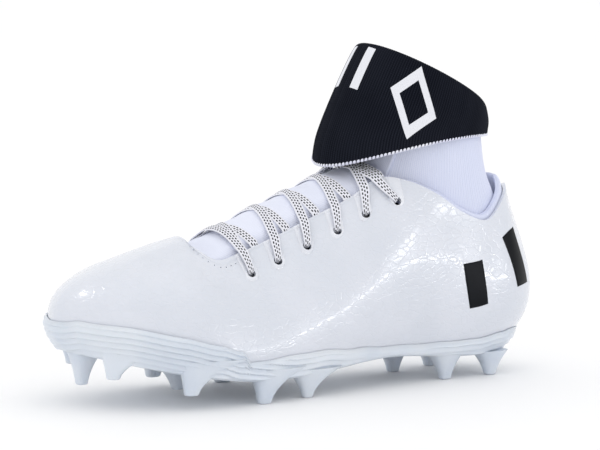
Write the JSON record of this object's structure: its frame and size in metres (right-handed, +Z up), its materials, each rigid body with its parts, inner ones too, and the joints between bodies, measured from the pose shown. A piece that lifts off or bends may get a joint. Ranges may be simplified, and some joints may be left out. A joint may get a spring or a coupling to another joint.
{
  "type": "american football cleat",
  "caption": "Left high-collar football cleat with a glossy one-piece shell, moulded plate with studs, knit ankle sleeve with a turned-down cuff, and laces.",
  "frame": {"origin": "middle of the shoe's plan, on the floor under its studs", "axes": "+X from the heel to the toe, +Y to the outer (lateral) side, +Z up"},
  "size_m": [0.2874, 0.101, 0.1789],
  "materials": {
    "glossy_skin": "cool white coated synthetic, high gloss",
    "moulded_plate": "blue-white moulded plastic, semi-gloss",
    "lilac_knit": "fine rib knit, matt",
    "black_knit": "rib knit, matt",
    "lace_weave": "flat woven white lace with rows of black dashes",
    "insole_cloth": "matt cloth over foam",
    "dark_inlay": "matt"
  },
  "bodies": {
    "root": {"upper": "glossy_skin", "outsole": "moulded_plate", "insole": "insole_cloth", "collar_lining": "lilac_knit", "ankle_sleeve": "black_knit", "tongue": "lilac_knit", "lace_1": "lace_weave", "lace_2": "lace_weave", "lace_3": "lace_weave", "lace_4": "lace_weave", "lace_5": "lace_weave", "arch_inlay": "dark_inlay"}
  },
  "joints": []
}
